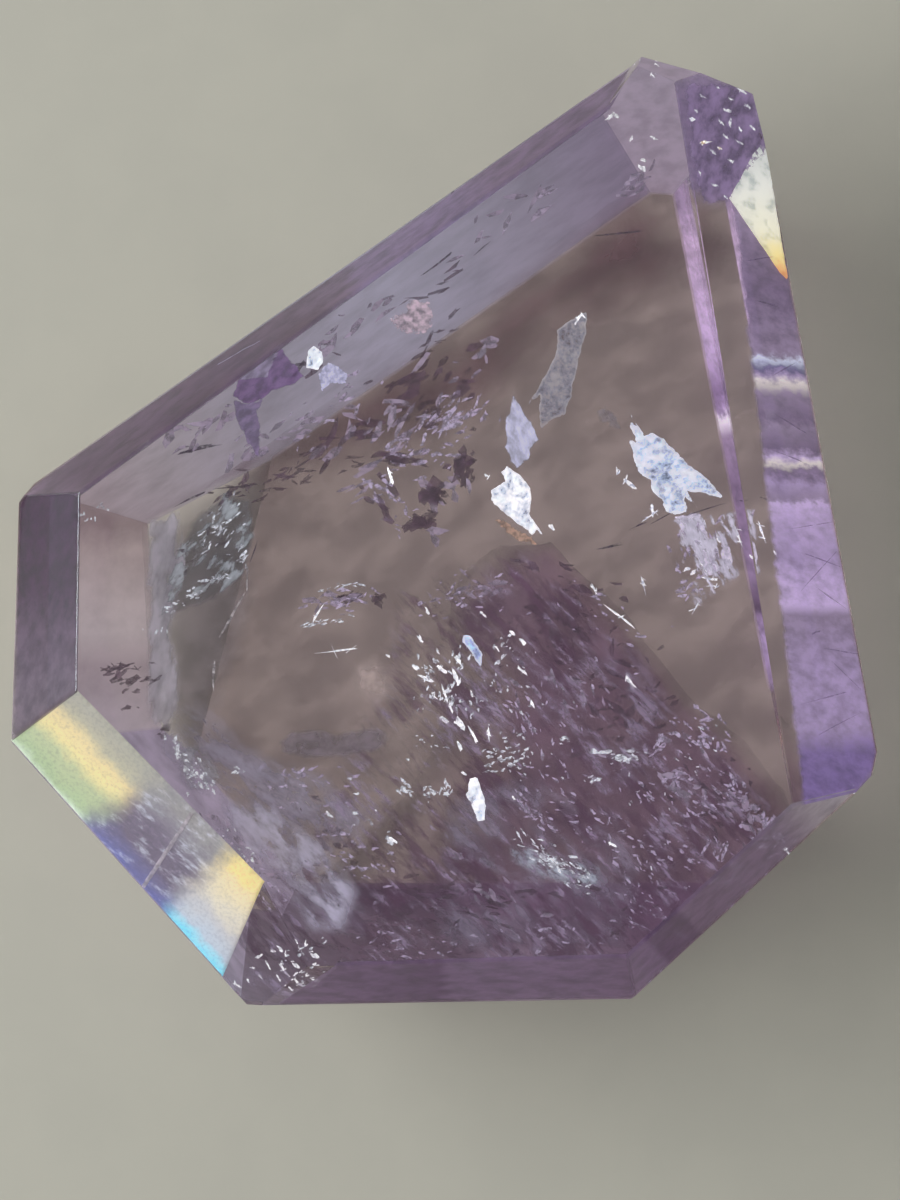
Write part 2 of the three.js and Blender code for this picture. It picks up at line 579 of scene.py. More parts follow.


# %% [markdown]
# ## Translucent films
#
# Three kinds of film cover most of what the stone shows. A `film` is a skin of
# one colour, a little lighter and darker in places, whose strength varies by
# smooth noise. A `veil` is wispy: only the peaks of a streaky noise show. A
# `banded` film changes colour along a line: it is a painted reflection of the
# colour zones, as a facet mirrors them. A little emission, painted light, stands
# for the light that such a film collects from all round. Their colours are given as a screen shows them.


# %% Film materials
def tones(colour, dark, light):
    """A darker and a lighter version of a colour."""
    return tuple(c * dark for c in colour), tuple(min(1.0, c * light) for c in colour)


def film(name, colour, strength, ragged=0.8, edge=0.6, size=0.8, glow=0.0, stretch=1.0, turn=0.0,
         contrast=0.35):
    """A translucent skin of one colour whose strength varies by smooth noise."""
    recipe = Recipe(name, Roughness=0.5, Emission_Strength=glow)
    cloud = recipe.grain(size, detail=4.0, stretch=stretch, turn=turn)
    tone = recipe.blend(cloud.step(0.3, 0.7), *tones(screen(*colour), 1.0 - contrast, 1.0 + contrast))
    body = (recipe.fade() + (cloud - 0.5) * ragged * 2.0).step(0.0, edge)
    recipe.paint(tone, body * strength)
    return recipe


def veil(name, colour, strength, low=0.5, high=0.72, size=0.8, glow=0.0, stretch=1.0, turn=0.0, patch=4.0):
    """Wisps: only the peaks of a streaky noise show."""
    recipe = Recipe(name, Roughness=0.6, Emission_Strength=glow)
    streak = recipe.grain(size, detail=5.0, stretch=stretch, turn=turn, roughness=0.62)
    area = recipe.grain(patch, detail=1.0)
    tone = recipe.blend(streak.step(low, high + 0.15), *tones(screen(*colour), 0.75, 1.3))
    wisps = (streak + (area - 0.5) * 0.5).step(low, high)
    recipe.paint(tone, wisps * recipe.fade().step(0.0, 1.0) * strength)
    return recipe


def banded(name, start, stop, stops, strength, glow, wobble=0.04, mottle=0.25, size=0.8, stretch=3.0,
           turn=0.0, mask=None):
    """A film whose colour follows a ramp from one picture pixel to another, where the mask shows it."""
    recipe = Recipe(name, Roughness=0.5, Emission_Strength=glow)
    cloud = recipe.grain(size, detail=5.0, stretch=stretch, turn=turn, roughness=0.6)
    place = recipe.run(start, stop) + (cloud - 0.5) * wobble * 2.0
    shade = recipe.ramp(cloud, [(0.32, (1.0 - mottle,) * 3), (0.62, WHITE)])
    tone = recipe.multiply(recipe.screen_ramp(place.clamped(), stops), shade)
    body = recipe.fade().step(0.0, 0.6) * 0.3 + 0.7
    recipe.paint(tone, body * (mask(recipe, cloud) if mask else 1.0) * strength)
    return recipe


# %% [markdown]
# ## Crown facets
#
# Seen from above, the crown facets look through the longest stretch of purple.
# Each mirrors another piece of the colour zones, so the film under each paints its
# own run of purples, from dark plum to pale lilac: the stone's own purple and a
# painted reflection in one, some with a glow of painted light. The films could lie
# on the facets themselves. They lie a little under them, so that the polish stays clear quartz.

# %% Crown linings
LEFT_CROWN = [
    (0.0, (104, 72, 98)), (0.1, (70, 28, 67)), (0.45, (76, 38, 73)), (0.6, (110, 82, 106)),
    (0.8, (128, 106, 122)), (1.0, (130, 108, 122)),
]
SLANT_CROWN = [
    (0.0, (140, 114, 137)), (0.08, (106, 76, 104)), (0.25, (104, 72, 100)), (0.42, (112, 84, 106)),
    (0.50, (132, 106, 130)), (0.53, (148, 124, 156)), (0.68, (146, 120, 156)), (0.76, (138, 110, 140)),
    (0.90, (134, 107, 136)), (1.0, (138, 112, 142)),
]
LOW_CROWN = [
    (0.0, (138, 112, 138)), (0.3, (128, 98, 132)), (0.5, (112, 80, 116)), (0.53, (134, 104, 138)),
    (0.85, (134, 104, 138)), (1.0, (124, 92, 126)),
]
EAST_CROWN = [
    (0.0, (124, 98, 128)), (0.12, (118, 90, 124)), (0.14, (92, 60, 98)), (0.27, (96, 68, 100)),
    (0.29, (116, 90, 118)), (0.7, (126, 104, 128)), (0.85, (160, 148, 160)), (1.0, (174, 166, 173)),
]
lining("left_crown", crown_at(45, 600), 0.15,
       banded("left_plum_reflection", (45, 470), (45, 742), LEFT_CROWN, 0.92, 0.0, mottle=0.5, stretch=1.6, turn=60),
       gap=0.05)
lining("slant_crown", crown_at(330, 290), 0.30,
       banded("slant_plum_reflection", (20, 470), (640, 62), SLANT_CROWN, 0.86, 0.05, wobble=0.03, mottle=0.45,
              stretch=2.5, turn=33))
lining("low_crown", crown_at(450, 985), 0.30,
       banded("low_plum_reflection", (240, 985), (640, 985), LOW_CROWN, 0.84, 0.25, wobble=0.03, mottle=0.4,
              stretch=2.0))
lining("east_crown", crown_at(740, 880), 0.30,
       banded("east_plum_reflection", (640, 985), (850, 790), EAST_CROWN, 0.80, 0.45, wobble=0.02, mottle=0.35,
              stretch=2.0, turn=42))

# %% [markdown]
# ## The right crown facet
#
# The long facet at the right is the brightest. It mirrors the window through the
# purple, and the film under it paints that reflection: pale and dark bars across
# its outer half, glowing with painted light. They could be single slabs, but their
# edges are soft and they lie on one facet: a ramp with many stops does it. Its tones have names, because they
# come back again and again.

# %% Right crown
PLUM, DUSK, LILAC, PALE_LILAC = (116, 97, 128), (142, 124, 152), (166, 145, 184), (194, 171, 212)
VIOLET, INDIGO, BLUE_WHITE, CREAM = (122, 100, 154), (90, 85, 128), (212, 216, 238), (225, 215, 209)
RIGHT_CROWN_REFLECTION = [
    (0.0, DUSK), (0.06, PLUM), (0.18, PLUM), (0.21, DUSK), (0.31, PLUM), (0.398, DUSK), (0.407, BLUE_WHITE),
    (0.416, INDIGO), (0.427, LILAC), (0.439, CREAM), (0.452, DUSK), (0.486, PLUM), (0.50, DUSK),
    (0.528, PLUM), (0.54, PALE_LILAC), (0.55, CREAM), (0.559, PLUM), (0.578, LILAC), (0.60, DUSK),
    (0.606, PALE_LILAC), (0.68, LILAC), (0.722, PALE_LILAC), (0.747, PALE_LILAC), (0.757, DUSK),
    (0.842, LILAC), (0.914, LILAC), (0.948, VIOLET),
]
CROWN_TOP, CROWN_FOOT = (800, 70), (800, 790)    # the run of the bars, in picture pixels


def outer_half(recipe, cloud):
    """The right crown's purple and painted window reflection lie along its outer half, and over all of its
    top end.
    """
    outer = (recipe.run((758, 471), (778, 468.7)) + (cloud - 0.5) * 0.5).step(-0.1, 0.25)
    top_end = recipe.run(CROWN_TOP, CROWN_FOOT).step(0.21, 0.16)
    return outer + top_end - outer * top_end


lining("right_crown", crown_at(835, 620), 0.30,
       banded("right_window_reflection", CROWN_TOP, CROWN_FOOT, RIGHT_CROWN_REFLECTION, 0.90, 0.72, wobble=0.016, mottle=0.38,
              stretch=3.5, turn=-10, mask=outer_half), gap=0.05)

# %% [markdown]
# ## Pavilion facets
#
# The pavilion facets are mirrors, and the films under them paint what they mirror,
# with a glow of painted light. The long slanted one and the left one show the sky,
# dulled; the right one shows as a narrow lilac sliver.

# %% Pavilion linings
SLANT_WALL = [
    (0.0, (158, 147, 151)), (0.12, (158, 152, 156)), (0.30, (150, 148, 158)), (0.55, (156, 156, 170)),
    (0.78, (138, 134, 148)), (1.0, (124, 112, 134)),
]
LEFT_WALL = [
    (0.0, (132, 116, 116)), (0.1, (160, 146, 144)), (0.45, (180, 171, 171)), (0.6, (152, 140, 144)),
    (1.0, (168, 160, 168)),
]
SLIVER = [
    (0.0, (160, 140, 170)), (0.08, (205, 182, 214)), (0.30, (186, 164, 202)), (0.36, (140, 116, 156)),
    (0.40, (160, 138, 176)), (0.42, (236, 228, 240)), (0.45, (150, 130, 160)), (0.55, (124, 104, 134)),
    (0.72, (140, 120, 152)), (0.78, (88, 68, 94)), (0.85, (168, 148, 187)), (1.0, (140, 120, 150)),
]
BOTTOM_WALL = [
    (0.0, (118, 108, 120)), (0.3, (92, 74, 90)), (0.5, (94, 76, 92)), (0.68, (128, 112, 128)),
    (1.0, (116, 94, 114)),
]
SLIVER_TOP, SLIVER_FOOT = (690, 200), (782, 720)


def before_foot(recipe, cloud):
    """The sliver's film stops just before its foot."""
    return (recipe.run(SLIVER_TOP, SLIVER_FOOT) + (cloud - 0.5) * 0.08).step(0.95, 0.92)


lining("slant_wall", wall_at(430, 300), 0.45,
       banded("slant_sky", (82, 500), (680, 150), SLANT_WALL, 0.88, 0.70, wobble=0.06, mottle=0.24, size=1.1,
              turn=33), gap=0.2)
lining("left_wall", wall_at(115, 600), 0.45,
       banded("left_sky", (110, 525), (110, 760), LEFT_WALL, 0.80, 0.70, mottle=0.20, size=2.5, stretch=1.5,
              turn=10), gap=0.2)
lining("top_wall", wall_at(655, 90), 0.45,
       film("top_sky", (148, 138, 152), 0.85, ragged=0.2, edge=0.3, size=1.4, glow=0.70, contrast=0.15,
            stretch=2.0, turn=60), gap=0.2)
lining("right_wall", wall_at(708, 320), 0.18,
       banded("sliver_reflection", SLIVER_TOP, SLIVER_FOOT, SLIVER, 0.92, 0.78, wobble=0.03, mottle=0.45, turn=-25,
              mask=before_foot), gap=0.08, top=1.5)
lining("low_left_wall", wall_at(190, 770), 0.4,
       film("low_left_sky", (150, 142, 158), 0.88, ragged=0.3, edge=0.3, size=1.6, glow=0.6, contrast=0.25,
            stretch=2.0, turn=-45), gap=0.2)
lining("bottom_wall", wall_at(470, 930), 0.4,
       banded("bottom_sky", (240, 930), (650, 930), BOTTOM_WALL, 0.72, 0.65, wobble=0.06, mottle=0.35,
              size=0.9, turn=-35), gap=0.2)

# %% [markdown]
# ## The rainbow facet
#
# Under the lower left facet, almost parallel to it, lies a film that paints the
# bright rainbow glare the facet shows: a painted reflection of window light split
# into colours, glowing with its own light. Green and gold lie at one end, gold with
# a cyan rim at the other, and dull plum in between. Three ramps across the facet
# hold these three stretches, and noise makes them run into each other.

# %% Rainbow film
GREEN_STRETCH = [
    (0.0, (216, 228, 206)), (0.10, (180, 196, 154)), (0.36, (192, 198, 158)), (0.55, (238, 222, 164)),
    (0.68, (234, 214, 164)), (0.84, (190, 183, 160)), (1.0, (178, 173, 158)),
]
PLUM_STRETCH = [
    (0.0, (104, 106, 170)), (0.14, (112, 108, 152)), (0.32, (114, 100, 118)), (0.6, (122, 110, 126)),
    (0.8, (152, 147, 152)), (1.0, (168, 163, 162)),
]
GOLD_STRETCH = [
    (0.0, (132, 220, 240)), (0.07, (168, 220, 234)), (0.15, (196, 202, 212)), (0.40, (202, 198, 198)),
    (0.56, (224, 214, 196)), (0.78, (234, 219, 184)), (0.92, (240, 220, 172)), (1.0, (244, 222, 152)),
]
FACET_CORNER = (12, 743)          # the facet's upper corner, in picture pixels
rainbow = Recipe("rainbow_glare_film", Roughness=0.35, Emission_Strength=0.38)
cloud = rainbow.grain(1.8, detail=6.0) - 0.5
width = (rainbow.run(FACET_CORNER, (74, 686)) + cloud * 0.30).clamped()
length = rainbow.run(FACET_CORNER, (240, 990)) + cloud * 0.10
plum_share = (length - width * 0.05).step(0.27, 0.38)
gold_share = length.step(0.63, 0.72)
green, plum, gold = (rainbow.screen_ramp(width, stretch)
                     for stretch in (GREEN_STRETCH, PLUM_STRETCH, GOLD_STRETCH))
wisp = rainbow.grain(0.7, detail=6.0, stretch=2.5, turn=-35, roughness=0.68)
plum = rainbow.blend(wisp.step(0.52, 0.70) * 0.75, plum, screen(214, 214, 224))
dust = rainbow.ramp(rainbow.grain(0.25, detail=4.0), [(0.30, (0.80, 0.80, 0.82)), (0.55, WHITE)])
tone = rainbow.blend(gold_share, rainbow.blend(plum_share, green, plum), gold)
rainbow.paint(rainbow.multiply(tone, dust),
              0.93 - plum_share * (1.0 - gold_share) * wisp.step(0.62, 0.40) * 0.25)
rainbow_facet = crown_at(140, 830)
lining("rainbow_glare", rainbow_facet, 0.25, rainbow, cell=0.5, gap=0.06)
sheet("facet_seam", [(190, 812), (194, 814), (143, 890), (139, 888)], under(rainbow_facet, 0.12),
      film("pale_seam", (206, 192, 198), 0.7, ragged=0.3, edge=0.2, size=0.5, glow=0.1),
      cell=0.4, crumple=0.0, ragged=0.03, gap=0.04, reach=0.05)

# %% [markdown]
# ## The bright triangle
#
# At the upper right a crack runs out to the surface and faces the light. The film
# under the facet paints the glare it sends back: a cream-white triangle that turns
# yellow and orange at its lower tip, glowing with painted light.

# %% White triangle
GLARE_FALL = [
    (0.0, (205, 208, 205)), (0.3, (230, 229, 222)), (0.62, (238, 234, 214)), (0.82, (246, 228, 160)),
    (0.93, (238, 170, 110)), (1.0, (200, 130, 105)),
]
cream = Recipe("triangle_glare_film", Roughness=0.4, Emission_Strength=0.62)
fall = (cream.run((760, 142), (788, 284)) + (cream.grain(1.2) - 0.5) * 0.12).clamped()
streaks = cream.ramp(cream.grain(0.9, detail=7.0, stretch=2.0, turn=-15),
                     [(0.36, (0.62, 0.66, 0.68)), (0.50, WHITE)])
cream.paint(cream.multiply(cream.screen_ramp(fall, GLARE_FALL), streaks), cream.fade().step(0.0, 0.15))
triangle_facet = crown_at(765, 200)
sheet("white_triangle", [
    (763, 142), (768, 150), (787, 262), (789, 282), (779, 272), (763, 248), (745, 222), (729, 198),
    (742, 175), (752, 155),
], under(triangle_facet, 0.2), cream,
      crumple=0.02, ragged=0.04, gap=0.05, reach=0.3)

# %% [markdown]
# ## Haze and shade
#
# Just above the base lies a thin haze. Its warm glow is painted light that lifts
# the darks of the clear part, and its cloud gives the clear part its grain. Next to
# the long slanted side, a film of painted warm brown shade lies over the base.

# %% Haze
haze = Recipe("base_haze_glow", Base_Color=screen(120, 108, 106), Roughness=0.8, Emission_Strength=1.0)
cloud = haze.grain(2.4, detail=5.0, stretch=1.8, turn=30, roughness=0.6)
haze_glow_colour = haze.blend(cloud.step(0.35, 0.65), screen(118, 107, 103), screen(144, 133, 127))
haze.feed(haze.shader, "Emission Color", haze_glow_colour)
haze.feed(haze.shader, "Alpha", 0.40 + cloud.step(0.35, 0.7) * 0.16)
lining("base_haze_glow", base, 0.5, haze, cell=2.5, gap=0.2)

# %% Brown shade
flaw("upper_shade", [
    (690, 150), (760, 250), (720, 300), (640, 320), (560, 350), (500, 420), (430, 460), (330, 480),
    (250, 500), (160, 560), (60, 500), (400, 250),
], 1.6, (0.0, 0.0),
     film("maroon_shade", (94, 66, 72), 0.78, ragged=0.25, edge=1.0, size=2.2, stretch=2.5, turn=33,
          glow=0.35), cell=1.0, crumple=0.1, ragged=0.0, reach=5.0)
flaw("left_shade", [(130, 520), (250, 510), (262, 600), (225, 720), (130, 720)], 2.2, (0.05, 0.05),
     film("grey_shade", (118, 112, 112), 0.50, ragged=0.5, edge=1.0, size=1.6, glow=0.55),
     cell=1.0, crumple=0.1, ragged=0.0, gap=0.25, reach=2.2)

# %% [markdown]
# ## Inside the heart
#
# The purple heart is full of streaks. Three sheets lie one above the other in
# it: a soft plum film, dark plum threads, and pale lilac wisps on top.

# %% Heart sheets
HEART_VEIL = [
    (395, 582), (430, 568), (500, 548), (552, 543), (588, 583), (632, 628), (684, 695), (745, 747),
    (785, 797), (800, 835), (860, 1010), (230, 1010), (240, 900), (320, 780), (370, 690),
]
flaw("heart_core", [
    (440, 600), (500, 550), (552, 545), (588, 584), (632, 629), (684, 696), (745, 749), (785, 799),
    (800, 835), (860, 1010), (300, 1010), (420, 900), (490, 780), (500, 700),
], 5.9, (0.0, 0.0),
     film("plum_core", (100, 72, 96), 0.50, ragged=0.9, edge=1.0, size=3.0, stretch=2.5, turn=-45, glow=0.45,
          contrast=0.25), cell=1.2, crumple=0.2, ragged=0.0, gap=0.25, reach=3.0)
flaw("heart_threads", HEART_VEIL, 6.5, (0.05, 0.0),
     veil("plum_threads", (90, 58, 82), 0.70, low=0.44, high=0.66, size=1.0, stretch=3.6, turn=-48, patch=5.0,
          glow=0.35), cell=1.2, crumple=0.3, gap=0.25, reach=2.0)
flaw("heart_wisps", HEART_VEIL, 10.5, (0.0, 0.03),
     veil("lilac_wisps", (176, 158, 184), 0.60, high=0.70, size=0.6, stretch=3.6, turn=-44, glow=0.25),
     cell=1.2, crumple=0.3, gap=0.25, reach=2.5)

# %% [markdown]
# ## The look of a silver crack
#
# An open crack is a film of air in glass, and it mirrors the sky. It reads as
# crumpled foil: bluish white, with faint tints of cyan, pink and yellow where the
# film is thinnest. Its light and dark creases and its white rim are a painted
# reflection, and it glows a little with painted light.

# %% Foil material
THIN_HUES = [(0.0, (0.55, 0.82, 1.0)), (0.40, (0.78, 0.90, 1.0)), (0.5, (0.92, 0.94, 1.0)),
             (0.57, (1.0, 0.93, 0.90)), (0.64, (0.74, 0.98, 1.0)), (1.0, (0.82, 0.80, 1.0))]
CREASE_REFLECTION = [(0.36, (110, 114, 134)), (0.44, (184, 192, 208)), (0.51, (222, 230, 242)), (0.58, (255, 255, 255))]


def foil(name, tint, glow, size=1.0, hues=1.0, strength=1.0):
    """Crumpled silvery film: tint is its linear colour, hues the share of the thin film's own tints; its
    crease light and white rim are painted reflection.
    """
    recipe = Recipe(name, Roughness=0.28, Metallic=0.15, Emission_Strength=glow)
    crease = recipe.grain(0.45 * size, detail=6.0, roughness=0.68)
    fold = recipe.grain(1.6 * size)
    # painted reflection: light and dark on the creases
    shade = recipe.screen_ramp(crease * 0.65 + fold * 0.35, CREASE_REFLECTION)
    hue = recipe.blend(hues, (1.0, 1.0, 0.98), recipe.ramp(recipe.grain(0.9 * size), THIN_HUES))
    # painted highlight: white at the rim
    rim = recipe.fade().step(0.75, 0.1)
    colour = recipe.blend(rim * 0.55, recipe.multiply(recipe.multiply(hue, shade), tint), WHITE)
    recipe.bump(crease, 0.8, 0.15)
    recipe.paint(colour, (recipe.fade() + (recipe.grain(0.35) - 0.5) * 0.9).step(0.0, 0.18) * strength)
    return recipe


silver = foil("silver_film", (0.96, 0.97, 1.0), 0.45, hues=0.6)
white_silver = foil("white_film", (1.0, 0.98, 0.95), 0.85, size=0.8, hues=0.3)

# %% The silver flakes
flaw("big_flake", [
    (625, 408), (631, 420), (637, 426), (644, 434), (651, 432), (662, 437), (677, 452), (690, 465),
    (705, 476), (715, 487), (726, 500), (715, 496), (702, 493), (687, 491), (685, 497), (692, 502),
    (699, 510), (688, 513), (675, 515), (665, 511), (661, 500), (652, 490), (650, 480), (640, 474),
    (634, 462), (632, 450), (636, 442), (629, 437), (630, 427),
], 8.5, (0.25, -0.35), silver, cell=0.22, crumple=0.22, seed=3, reach=0.35)
flaw("folded_flake", [
    (508, 466), (520, 475), (530, 487), (532, 502), (530, 515), (536, 530), (546, 540), (532, 535),
    (515, 522), (500, 510), (490, 500), (492, 490), (506, 481), (502, 472),
], 9.5, (-0.5, 0.2), white_silver, cell=0.2, crumple=0.3, ragged=0.08, seed=5, reach=0.35)
flaw("flake_fringe", [
    (493, 519), (503, 518), (516, 530), (532, 538), (545, 541), (538, 545), (520, 541), (505, 532),
], 9.2, (-0.3, 0.2),
     film("amber_film", (205, 168, 140), 0.7, edge=0.4, size=0.4, glow=0.2, contrast=0.6),
     cell=0.2, reach=0.3)
flaw("upper_flake", [
    (557, 330), (570, 320), (587, 312), (586, 330), (581, 350), (576, 372), (571, 395), (565, 415),
    (552, 420), (540, 430), (526, 407), (540, 395), (547, 372), (557, 350),
], 8.8, (0.6, 0.3), foil("grey_foil", (0.62, 0.60, 0.63), 0.20, hues=0.15, strength=0.55),
     cell=0.25, crumple=0.2, seed=6, reach=0.3)
flaw("blade", [
    (512, 386), (519, 402), (526, 415), (532, 422), (539, 440), (531, 450), (529, 460), (517, 469),
    (510, 462), (505, 447), (505, 430), (506, 417), (511, 405),
], 9.0, (0.2, -0.3),
     film("lilac_film", (200, 200, 222), 0.95, ragged=0.6, edge=0.3, size=0.5, glow=0.30, stretch=2.0,
          turn=-70, contrast=0.3), cell=0.3, ragged=0.06, seed=7)
flaw("blue_flake", [
    (462, 635), (470, 635), (478, 645), (482, 655), (482, 668), (475, 660), (468, 648), (462, 642),
], 9.5, (0.3, 0.2), foil("blue_film", (0.70, 0.78, 1.0), 0.45), cell=0.15, crumple=0.1, seed=8, reach=0.3)
flaw("white_flake", [
    (470, 778), (478, 777), (482, 790), (486, 805), (485, 820), (478, 822), (472, 808), (466, 795),
], 10.5, (0.2, 0.3), white_silver, cell=0.15, crumple=0.1, seed=9, reach=0.25)
flaw("faint_tail", [(596, 412), (606, 404), (620, 420), (622, 432), (612, 428), (600, 422)], 8.5, (0.2, 0.1),
     film("faint_film", (150, 144, 152), 0.5, size=0.5), cell=0.3)

# %% [markdown]
# ## Glints
#
# The brightest points are small flat breaks that happen to face the window. Their
# white is a painted highlight: the splinters glow with their own light. Each is a
# few thin jagged splinters, laid between two points. They repeat a lot, so each has only a few faces, and all
# are joined in one mesh.


# %% Glint helpers
def jagged_bit(bm, draw, sides, length, width, least, most):
    """A flat uneven polygon round the origin; its corners reach from least to most of its size."""
    made = bmesh.ops.create_circle(bm, cap_ends=True, segments=sides, radius=0.5)["verts"]
    for v in made:
        v.co *= draw.uniform(least, most)
    bmesh.ops.scale(bm, vec=(length, width, 1.0), verts=made)
    return made


def finish_bits(name, bm, recipe, gap, thick):
    """Keep the bits inside the facets, give them a thickness and make them one piece."""
    bmesh.ops.triangulate(bm, faces=bm.faces[:])
    keep_inside(bm, gap)
    thicken(bm, Vector((0, 0, -thick)))
    print(name, len(bm.faces), "faces")
    finish_piece(name, bm, recipe)


def splinters(name, marks, recipe, heights, seed, pieces=3, plane=None):
    """One mesh of thin jagged splinters: each mark is (x0, y0, x1, y1, width) in picture pixels."""
    draw = random.Random(seed)
    bm = bmesh.new()
    for x0, y0, x1, y1, width in marks:
        height = draw.uniform(*heights)
        if plane:
            start, stop = on_plane(x0, y0, *plane), on_plane(x1, y1, *plane)
        else:
            start, stop = in_stone(x0, y0, height), in_stone(x1, y1, height + draw.uniform(-0.3, 0.3))
        along = stop - start
        long, broad = max(along.length, width * PIXEL) + width * PIXEL * 0.3, width * PIXEL * 0.9
        for number in range(pieces):
            share = draw.uniform(0.3, 0.6) if number else 1.0
            middle = start.lerp(stop, draw.uniform(0.1, 0.9) if number else 0.5)
            made = jagged_bit(bm, draw, 8, long * share, broad * share, least=0.3, most=1.35)
            lean = math.atan2(along.y, along.x) + draw.gauss(0, 0.25 + 0.5 * number)
            turn = Matrix.Rotation(lean, 4, "Z")
            tilt = Matrix.Rotation(draw.uniform(-0.5, 0.5), 4, "X")
            if plane:
                turn = Vector((0, 0, 1)).rotation_difference(plane[1]).to_matrix().to_4x4() @ turn
            else:
                turn = turn @ tilt
            bmesh.ops.transform(bm, matrix=Matrix.Translation(middle) @ turn, verts=made)
    finish_bits(name, bm, recipe, gap=0.06, thick=0.03)


def spark(name, tint, glow):
    """A glint's material, a painted highlight: one linear tint, with white points in it, glowing with its own
    light.
    """
    recipe = Recipe(name, Roughness=0.2, Metallic=0.3, Emission_Strength=glow)
    points = recipe.grain(0.25, detail=4.0).step(0.35, 0.6)
    recipe.paint(recipe.blend(points, tuple(c * 0.55 for c in tint), WHITE))
    return recipe


splinters("middle_glints", [
    (510, 630, 514, 636, 4), (518, 637, 525, 645, 5), (515, 666, 526, 673, 5), (426, 608, 429, 614, 4),
    (420, 636, 422, 644, 3), (413, 665, 419, 669, 5), (421, 674, 436, 686, 4), (436, 664, 446, 673, 6),
    (451, 671, 460, 684, 5), (456, 656, 461, 666, 5), (445, 687, 447, 708, 3), (441, 716, 448, 724, 5),
    (453, 718, 465, 730, 12), (470, 727, 476, 743, 3), (487, 729, 491, 739, 3), (462, 772, 466, 775, 4),
    (622, 672, 636, 689, 5), (588, 583, 599, 594, 4), (603, 602, 629, 624, 4), (550, 524, 554, 530, 5),
    (390, 469, 391, 484, 4), (485, 473, 489, 478, 4), (512, 797, 515, 800, 4), (783, 848, 790, 853, 5),
    (852, 784, 855, 793, 3), (606, 841, 616, 846, 3), (387, 654, 389, 657, 4), (327, 811, 329, 817, 4),
    (388, 837, 396, 843, 5), (572, 321, 587, 314, 5), (448, 700, 452, 712, 4), (432, 690, 436, 702, 3),
    (458, 740, 462, 752, 4), (317, 652, 357, 650, 3), (310, 621, 324, 608, 3), (436, 648, 440, 656, 3),
    (470, 690, 474, 698, 3), (495, 646, 500, 652, 3), (480, 612, 486, 616, 3), (530, 700, 534, 708, 3),
], spark("white_spark", (0.9, 0.95, 1.0), 0.8), (8.0, 12.0), 11)

# %% [markdown]
# ## Rags and plates
#
# Around the cracks the crystal is full of small broken bits. A rag is a thin
# piece with nine sides and an uneven outline, stretched along the grain of its
# cluster. A plate is larger and has six. Each cluster is a small table row:
# where it is, how far it spreads, which way its bits run, how many there are and
# how large they are.


# %% Rag helpers
def inside_walls(spot, gap):
    """Whether a spot lies more than gap millimetres inside all walls."""
    return all((spot - point).dot(normal) < -gap for point, normal in WALLS)


def rags(name, clusters, recipe, heights, seed, sides=9):
    """One mesh of bits: a cluster is (x, y, spread_x, spread_y, angle, count, length, width)."""
    draw = random.Random(seed)
    bm = bmesh.new()
    for x, y, spread_x, spread_y, angle, count, length, width in clusters:
        lean = math.radians(angle)
        for _ in range(count):
            u, v = draw.gauss(0, 0.5) * spread_x, draw.gauss(0, 0.5) * spread_y
            px = x + u * math.cos(lean) - v * math.sin(lean)
            py = y - u * math.sin(lean) - v * math.cos(lean)
            spot = in_stone(px, py, draw.uniform(*heights))
            if not inside_walls(spot, gap=0.35):
                continue
            size = draw.uniform(0.4, 1.4) * PIXEL
            made = jagged_bit(bm, draw, sides, length * size, width * size, least=0.35, most=1.3)
            turn = Matrix.Rotation(lean + draw.gauss(0, 0.4), 4, "Z")
            tilt = Matrix.Rotation(draw.uniform(-0.6, 0.6), 4, "X")
            bmesh.ops.transform(bm, matrix=Matrix.Translation(spot) @ turn @ tilt, verts=made)
    finish_bits(name, bm, recipe, gap=0.1, thick=0.025)


def shard(name, colour, alpha, glow, size=0.4, clear_from=0.25):
    """The broken bits' material: one colour, mottled, partly see-through."""
    recipe = Recipe(name, Roughness=0.4, Emission_Strength=glow)
    cloud = recipe.grain(size, detail=4.0)
    tone = recipe.blend(cloud.step(0.35, 0.65), *tones(screen(*colour), 0.55, 1.5))
    recipe.paint(tone, cloud.step(clear_from, clear_from + 0.35) * alpha)
    return recipe


# %% Plates
rags("pale_plates", [
    (400, 410, 50, 25, 38, 16, 26, 7), (380, 470, 40, 14, 35, 10, 30, 5),
    (440, 490, 30, 30, -50, 12, 18, 8), (350, 430, 30, 14, 35, 8, 24, 8), (300, 430, 40, 12, 35, 8, 22, 6),
    (480, 360, 30, 20, 40, 8, 22, 8), (350, 330, 60, 14, 33, 14, 22, 7), (500, 220, 60, 14, 33, 12, 24, 6),
    (200, 430, 50, 16, 33, 14, 20, 8), (250, 450, 40, 14, 33, 12, 18, 6),
    (600, 700, 60, 50, -45, 18, 14, 4), (500, 900, 80, 30, -35, 20, 16, 5),
    (690, 780, 50, 30, -45, 22, 15, 6), (760, 830, 20, 24, -45, 16, 12, 6),
    (500, 700, 24, 60, -60, 16, 16, 5), (640, 180, 30, 14, 33, 10, 18, 6),
    (230, 840, 40, 40, -45, 14, 20, 6), (340, 600, 30, 14, 10, 12, 16, 6),
    (470, 590, 40, 16, 10, 10, 16, 5),
], shard("pale_plate", (166, 152, 170), 0.48, 0.25, size=0.8, clear_from=0.0), (7.0, 12.0), 24, sides=6)
